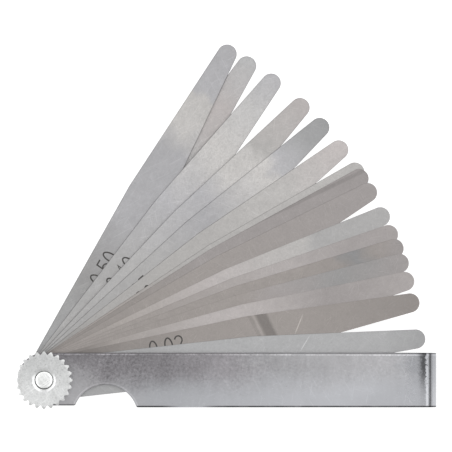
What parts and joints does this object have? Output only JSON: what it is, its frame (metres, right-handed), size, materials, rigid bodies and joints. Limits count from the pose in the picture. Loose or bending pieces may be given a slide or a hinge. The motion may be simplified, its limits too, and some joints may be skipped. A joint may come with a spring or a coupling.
{
  "type": "feeler gauge",
  "caption": "Metric feeler gauge: thin steel leaves fan out of a folded sheet-steel case and are clamped on one pivot by a knurled nut.",
  "frame": {"origin": "on the pivot axis, at the outer face of the screw head, on which the gauge lies", "axes": "+X from the pivot towards the far, folded end of the case; +Z along the pivot from the screw head to the nut; the leaves fan out towards +Y"},
  "size_m": [0.1035, 0.0894, 0.0116],
  "materials": {
    "case_plate": "dull nickel plate with fine speckle",
    "leaf_steel": "rolled spring steel, satin with fine scratches",
    "nut_plate": "turned and nickel plated, satin",
    "screw_plate": "nickel plated, satin"
  },
  "bodies": {
    "case": {"case": "case_plate", "pivot_screw": "screw_plate"},
    "knurled_nut": {"knurled_nut": "nut_plate"},
    "blade_0_10": {"blade_0_10": "leaf_steel"},
    "blade_0_02": {"blade_0_02": "leaf_steel"},
    "blade_0_03": {"blade_0_03": "leaf_steel"},
    "blade_0_04": {"blade_0_04": "leaf_steel"},
    "blade_0_05": {"blade_0_05": "leaf_steel"},
    "blade_0_06": {"blade_0_06": "leaf_steel"},
    "blade_0_07": {"blade_0_07": "leaf_steel"},
    "blade_0_08": {"blade_0_08": "leaf_steel"},
    "blade_0_09": {"blade_0_09": "leaf_steel"},
    "blade_0_15": {"blade_0_15": "leaf_steel"},
    "blade_0_20": {"blade_0_20": "leaf_steel"},
    "blade_0_25": {"blade_0_25": "leaf_steel"},
    "blade_0_30": {"blade_0_30": "leaf_steel"},
    "blade_0_35": {"blade_0_35": "leaf_steel"},
    "blade_0_40": {"blade_0_40": "leaf_steel"},
    "blade_0_50": {"blade_0_50": "leaf_steel"},
    "blade_0_45": {"blade_0_45": "leaf_steel"}
  },
  "joints": [
    {"name": "blade_0_10_pivot", "type": "hinge", "parent": "case", "child": "blade_0_10", "pos_m": [0, 0, 0], "axis": [0, 0, 1], "range_deg": [-6.3, 173.7]},
    {"name": "blade_0_02_pivot", "type": "hinge", "parent": "case", "child": "blade_0_02", "pos_m": [0, 0, 0], "axis": [0, 0, 1], "range_deg": [-11.9, 168.1]},
    {"name": "blade_0_03_pivot", "type": "hinge", "parent": "case", "child": "blade_0_03", "pos_m": [0, 0, 0], "axis": [0, 0, 1], "range_deg": [-15.3, 164.7]},
    {"name": "blade_0_04_pivot", "type": "hinge", "parent": "case", "child": "blade_0_04", "pos_m": [0, 0, 0], "axis": [0, 0, 1], "range_deg": [-18.2, 161.8]},
    {"name": "blade_0_05_pivot", "type": "hinge", "parent": "case", "child": "blade_0_05", "pos_m": [0, 0, 0], "axis": [0, 0, 1], "range_deg": [-20.6, 159.4]},
    {"name": "blade_0_06_pivot", "type": "hinge", "parent": "case", "child": "blade_0_06", "pos_m": [0, 0, 0], "axis": [0, 0, 1], "range_deg": [-22.9, 157.1]},
    {"name": "blade_0_07_pivot", "type": "hinge", "parent": "case", "child": "blade_0_07", "pos_m": [0, 0, 0], "axis": [0, 0, 1], "range_deg": [-25.9, 154.1]},
    {"name": "blade_0_08_pivot", "type": "hinge", "parent": "case", "child": "blade_0_08", "pos_m": [0, 0, 0], "axis": [0, 0, 1], "range_deg": [-30.1, 149.9]},
    {"name": "blade_0_09_pivot", "type": "hinge", "parent": "case", "child": "blade_0_09", "pos_m": [0, 0, 0], "axis": [0, 0, 1], "range_deg": [-32.6, 147.4]},
    {"name": "blade_0_15_pivot", "type": "hinge", "parent": "case", "child": "blade_0_15", "pos_m": [0, 0, 0], "axis": [0, 0, 1], "range_deg": [-33.8, 146.2]},
    {"name": "blade_0_20_pivot", "type": "hinge", "parent": "case", "child": "blade_0_20", "pos_m": [0, 0, 0], "axis": [0, 0, 1], "range_deg": [-38, 142]},
    {"name": "blade_0_25_pivot", "type": "hinge", "parent": "case", "child": "blade_0_25", "pos_m": [0, 0, 0], "axis": [0, 0, 1], "range_deg": [-42.5, 137.5]},
    {"name": "blade_0_30_pivot", "type": "hinge", "parent": "case", "child": "blade_0_30", "pos_m": [0, 0, 0], "axis": [0, 0, 1], "range_deg": [-46.8, 133.2]},
    {"name": "blade_0_35_pivot", "type": "hinge", "parent": "case", "child": "blade_0_35", "pos_m": [0, 0, 0], "axis": [0, 0, 1], "range_deg": [-46.8, 133.2]},
    {"name": "blade_0_40_pivot", "type": "hinge", "parent": "case", "child": "blade_0_40", "pos_m": [0, 0, 0], "axis": [0, 0, 1], "range_deg": [-52.6, 127.4]},
    {"name": "blade_0_50_pivot", "type": "hinge", "parent": "case", "child": "blade_0_50", "pos_m": [0, 0, 0], "axis": [0, 0, 1], "range_deg": [-60.7, 119.3]},
    {"name": "blade_0_45_pivot", "type": "hinge", "parent": "case", "child": "blade_0_45", "pos_m": [0, 0, 0], "axis": [0, 0, 1], "range_deg": [-57.2, 122.8]},
    {"name": "nut_turn", "type": "hinge", "parent": "case", "child": "knurled_nut", "pos_m": [0, 0, 0.0074], "axis": [0, 0, 1], "range_deg": [0, 540]}
  ]
}
